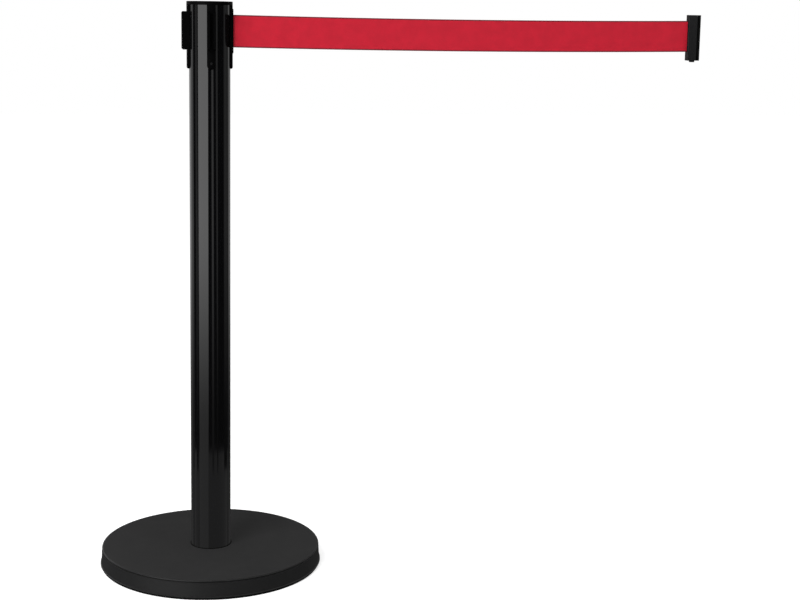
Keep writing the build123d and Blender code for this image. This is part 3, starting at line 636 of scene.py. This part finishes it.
# %% The run-out
LEAD_THICK = 0.6 * MM
HALF_TURN = 27.9
BEND_STEPS = 8
pins_low, pins_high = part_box("guide_pins")
lead_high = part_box("belt_lead")[1]
pin_x = (pins_low.x + pins_high.x) / 2
pin_r = (pins_high.x - pins_low.x) / 2
turn_r = pins_high.y - pin_r
leave_r = roll_r + LEAD_THICK / 2 + 0.1 * MM
corner_x = pin_x - turn_r * math.tan(math.radians(HALF_TURN))
slope = math.asin(leave_r / corner_x)
run = math.sqrt(corner_x**2 - leave_r**2)
start = Vector((corner_x - run * math.cos(slope), -run * math.sin(slope)))
tangent_run = turn_r * math.tan(slope / 2)
centre = Vector((corner_x + tangent_run, -turn_r))
bend = []
for i in range(BEND_STEPS + 1):
    still = slope * (1 - i / BEND_STEPS)
    bend.append(centre + turn_r * Vector((-math.sin(still), math.cos(still))))
lead_line = [start] + [start.lerp(bend[0], i / 4) for i in range(1, 4)] + bend + [Vector((lead_high.x, 0))]
lead = strap("belt_run_out", [[(p.x, p.y, belt_mid) for p in lead_line]], "belt_lead",
             fine=False, thick=LEAD_THICK)
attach(lead, "post")

# %% [markdown]
# ## The sewn end
# In the clip the belt goes round a steel pin and back on itself, and two rows of stitches close the
# loop. The loop is one more path for the webbing tree. The stitches are short rounded threads set
# along two upright lines on each face by a second tree.

# %% The sewn loop
hem_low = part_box("belt_hem")[0]
pin_low, pin_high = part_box("belt_pin")
hem_pin = ((pin_low.x + pin_high.x) / 2, (pin_high.x - pin_low.x) / 2)
LAYER = BELT_THICK / 2 + 0.02 * MM
loop_r = hem_pin[1] + LAYER + 0.03 * MM
neck_x = hem_pin[0] - math.sqrt(loop_r**2 - LAYER**2) - 0.6 * MM
open_angle = math.pi - math.asin(LAYER / loop_r) - 0.35
outgoing = [(hem_low.x, -LAYER), ((hem_low.x + neck_x) / 2, -LAYER), (neck_x, -LAYER)]
round_pin = [(hem_pin[0] + loop_r * math.cos(a), loop_r * math.sin(a))
             for a in (open_angle * (i / 12 - 1) for i in range(25))]
returning = [(x, -y) for x, y in reversed(outgoing)]
loop_line = outgoing + round_pin + returning
hem = strap("sewn_loop", [[(x, y, belt_mid) for x, y in loop_line]], "belt_hem", fine=False)
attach(hem, "clip")

# %% The stitches
STITCH_SHARE = 0.42
STITCH_PITCH = 2.4 * MM
THREAD_R = 0.2 * MM
ROWS_IN = (0.9 * MM, 2.9 * MM)
ROW_REACH = 0.45
sewing, ends_in, ends_out = new_tree("Stitches along lines", [
    ("Pitch", FLOAT), ("Thread", FLOAT), ("Material", "NodeSocketMaterial")])
marks = step(sewing, "GeometryNodeCurveToPoints", mode="LENGTH")
sewing.links.new(ends_in.outputs["Geometry"], marks.inputs["Curve"])
sewing.links.new(ends_in.outputs["Pitch"], marks.inputs["Length"])
bead = step(sewing, "GeometryNodeMeshUVSphere", {"Segments": 8, "Rings": 6, "Radius": 1.0})
size = step(sewing, "ShaderNodeCombineXYZ")
sewing.links.new(ends_in.outputs["Thread"], size.inputs["X"])
sewing.links.new(ends_in.outputs["Thread"], size.inputs["Y"])
sewing.links.new(sums(sewing, "MULTIPLY", ends_in.outputs["Pitch"], STITCH_SHARE), size.inputs["Z"])
set_out = step(sewing, "GeometryNodeInstanceOnPoints")
sewing.links.new(marks.outputs["Points"], set_out.inputs["Points"])
sewing.links.new(bead.outputs["Mesh"], set_out.inputs["Instance"])
sewing.links.new(size.outputs["Vector"], set_out.inputs["Scale"])
last_steps(sewing, set_out.outputs["Instances"], ends_in, ends_out)

thread_red, tree, shader = finish("thread_red", (0.22, 0.006, 0.012), 0.6, specular=0.3)
twist = step(tree, "ShaderNodeTexWave", {"Scale": 1500.0, "Distortion": 1.0}, bands_direction="DIAGONAL")
tree.links.new(step(tree, "ShaderNodeTexCoord").outputs["Object"], twist.inputs["Vector"])
tree.links.new(mixed(tree, twist.outputs["Fac"], (0.16, 0.004, 0.009), (0.27, 0.008, 0.016)),
               shader.inputs["Base Color"])
rows = []
for x in (hem_low.x + row_in for row_in in ROWS_IN):
    for y in (-1, 1):
        face_y = y * (LAYER + BELT_THICK / 2)
        rows.append([(x, face_y, belt_mid + end * belt_width * ROW_REACH) for end in (-1, 1)])
stitches = run_tree(path_curve("stitches", *rows), "loop_stitches", sewing,
                    {"Pitch": STITCH_PITCH, "Thread": THREAD_R, "Material": thread_red})
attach(stitches, "clip")

# %% [markdown]
# ## Camera
# The camera stands in front of the post, a little to its left and just above its head, and looks
# down and to the right along the belt. A small downward shift keeps the post's head in view without
# tilting the upright lines.

# %% Camera
CAMERA_SIDE = math.radians(-4.242)
CAMERA_DISTANCE = 2.5633
CAMERA_HEIGHT = 0.9316
CAMERA_TURN = math.radians(-6.715)
CAMERA_DOWN = math.radians(9.858)
CAMERA_ROLL = math.radians(0.996)
camera_data = bpy.data.cameras.new("camera")
camera_data.lens = 73.61
camera_data.sensor_width = 36.0
camera_data.shift_y = -0.04
camera = bpy.data.objects.new("camera", camera_data)
bpy.context.scene.collection.objects.link(camera)
camera.location = (CAMERA_DISTANCE * math.sin(CAMERA_SIDE), -CAMERA_DISTANCE * math.cos(CAMERA_SIDE),
                   CAMERA_HEIGHT)
heading = CAMERA_SIDE + CAMERA_TURN
turned = Matrix.Rotation(heading, 4, "Z") @ Matrix.Rotation(math.pi / 2 - CAMERA_DOWN, 4, "X")
camera.rotation_euler = (turned @ Matrix.Rotation(CAMERA_ROLL, 4, "Z")).to_euler()
bpy.context.scene.camera = camera
print("camera at", tuple(round(c, 3) for c in camera.location))

# %% [markdown]
# ## Floor and surroundings
# The studio is white: a pale floor and a white room. What a gloss post mirrors is a different
# matter, because black cloth and white cards hang round it. So the room is white to the camera and
# to matte surfaces, and nearly black in reflections, and the floor is out of them.

# %% Floor and surroundings
scene = bpy.context.scene
scene.view_settings.view_transform = "Standard"
FLOOR_HALF = 9.0
FLOOR_LIFT = 0.6
floor_mesh = bpy.data.meshes.new("studio_floor")
shape = bmesh.new()
bmesh.ops.create_grid(shape, x_segments=12, y_segments=12, size=FLOOR_HALF)
shape.to_mesh(floor_mesh)
shape.free()
floor = bpy.data.objects.new("studio_floor", floor_mesh)
scene.collection.objects.link(floor)
floor.visible_glossy = False
floor_white, tree, shader = finish("floor_white", (0.88, 0.88, 0.88), 0.9, specular=0.0)
shader.inputs["Emission Color"].default_value = (1.0, 1.0, 1.0, 1.0)
seen = step(tree, "ShaderNodeLightPath").outputs["Is Camera Ray"]
tree.links.new(sums(tree, "MULTIPLY", seen, FLOOR_LIFT), shader.inputs["Emission Strength"])
floor_mesh.materials.append(floor_white)
floor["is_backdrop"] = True

ROOM_SEEN = 1.0
ROOM_LIGHT = 0.5
ROOM_MIRRORED = 0.03
room = bpy.data.worlds.new("white_room")
scene.world = room
room.use_nodes = True
tree = room.node_tree
background = tree.nodes["Background"]
background.inputs["Color"].default_value = (1.0, 1.0, 1.0, 1.0)
rays = step(tree, "ShaderNodeLightPath")
lit = sums(tree, "MULTIPLY_ADD", rays.outputs["Is Camera Ray"], ROOM_SEEN - ROOM_LIGHT, ROOM_LIGHT)
mirrored = sums(tree, "MULTIPLY_ADD", rays.outputs["Is Glossy Ray"], ROOM_MIRRORED - ROOM_LIGHT, lit)
tree.links.new(mirrored, background.inputs["Strength"])
print("floor and room ready")

# %% [markdown]
# ## Cards for the gloss post
# Upright cards stand in a ring round the post and only its reflections see them. Each is a piece of
# a cylinder between two angles, measured from the direction of the camera, and the light on it
# fades towards the floor. The wide bright one on the left draws the long band on the post. Behind
# them a dim ring low down, in four parts, lights the foot of the post evenly, because its sides
# mirror more than its middle. A ring high up is what the top of the base mirrors.


# %% Cards
CARD_RING = 2.2
FAR_RING = 2.4
FADE_LOW = -0.40
FADE_HIGH = 0.30
FADE_LEFT = 0.16


def card(name, first, last, low, high, strength, ring=CARD_RING, fade=(FADE_LOW, FADE_HIGH, FADE_LEFT)):
    """A glowing upright card between two angles in degrees from the camera's side; only mirrored."""
    made = bmesh.new()
    count = max(2, round(abs(last - first) / 3))
    uprights = []
    for i in range(count + 1):
        angle = CAMERA_SIDE + math.radians(first + (last - first) * i / count)
        x, y = ring * math.sin(angle), -ring * math.cos(angle)
        uprights.append((made.verts.new((x, y, low)), made.verts.new((x, y, high))))
    for (a, b), (c, d) in zip(uprights, uprights[1:]):
        made.faces.new((a, b, d, c))
    mesh = bpy.data.meshes.new(name)
    made.to_mesh(mesh)
    made.free()
    glow = bpy.data.materials.new(name)
    glow.use_nodes = True
    tree = glow.node_tree
    tree.nodes.remove(tree.nodes["Principled BSDF"])
    light = step(tree, "ShaderNodeEmission")
    heights = step(tree, "ShaderNodeSeparateXYZ")
    tree.links.new(step(tree, "ShaderNodeTexCoord").outputs["Object"], heights.inputs["Vector"])
    faded = ramp(tree, heights.outputs["Z"], fade[0], fade[1], fade[2] * strength, strength)
    tree.links.new(faded, light.inputs["Strength"])
    tree.links.new(light.outputs["Emission"], tree.nodes["Material Output"].inputs["Surface"])
    mesh.materials.append(glow)
    made = bpy.data.objects.new(name, mesh)
    scene.collection.objects.link(made)
    for ray in ("camera", "diffuse", "transmission", "volume_scatter", "shadow"):
        setattr(made, f"visible_{ray}", False)
    made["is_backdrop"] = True


CARDS = (
    ("card_left", -68, -14, -1.6, 2.4, 2.7),
    ("card_left_edge", -88, -74, -0.5, 1.2, 0.3),
    ("card_left_side", -128, -106, -0.5, 1.2, 0.6),
    ("card_left_back", -165, -128, -0.5, 1.2, 0.9),
    ("card_middle", 9, 20, -0.5, 1.2, 0.7),
    ("card_right", 38, 44, -0.5, 1.2, 0.4),
    ("card_right_side", 84, 110, -0.5, 1.2, 0.25),
    ("card_right_back", 120, 165, -0.5, 1.2, 0.5),
)
for name, first, last, low, high, strength in CARDS:
    card(name, first, last, low, high, strength)
LOW_FADE = (-0.50, -0.66, 1.0)
card("low_front", -110, 110, -1.7, -0.5, 0.27, FAR_RING, LOW_FADE)
card("low_left", -145, -110, -1.7, -0.5, 0.14, FAR_RING, LOW_FADE)
card("low_right", 110, 145, -1.7, -0.5, 0.14, FAR_RING, LOW_FADE)
card("low_back", 145, 215, -1.7, -0.5, 0.05, FAR_RING, LOW_FADE)
card("high_ring", 0, 360, 0.95, 3.0, 0.35, FAR_RING, (0.95, 1.2, 0.0))
print(len(CARDS), "cards, a low ring and a high ring")

# %% [markdown]
# ## Soft light
# A large soft light high on the left and a weaker one on the right give the matte pieces their
# form. They are kept out of reflections, because the cards already stand for them there.


# %% Soft light
def soft_light(name, at, size, power):
    """A square area light that looks at the middle of the belt and isn't mirrored."""
    lamp = bpy.data.lights.new(name, "AREA")
    lamp.size = size
    lamp.energy = power
    made = bpy.data.objects.new(name, lamp)
    scene.collection.objects.link(made)
    made.location = at
    aim = Vector(((post_high.x + clip_low.x) / 2, 0, post_high.z / 2)) - Vector(at)
    made.rotation_euler = aim.to_track_quat("-Z", "Y").to_euler()
    made.visible_glossy = False
    made.visible_camera = False


soft_light("key_light", (-1.75, -2.3, 2.5), 1.8, 97.0)
soft_light("fill_light", (2.2, -1.6, 1.8), 1.6, 3.0)
print("lights ready")

# %% [markdown]
# ## Measure and finish
# The box of the visible model is printed.

# %% Measure and finish
low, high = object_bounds()
print("visual", [round(v, 4) for v in (*low, *high)])
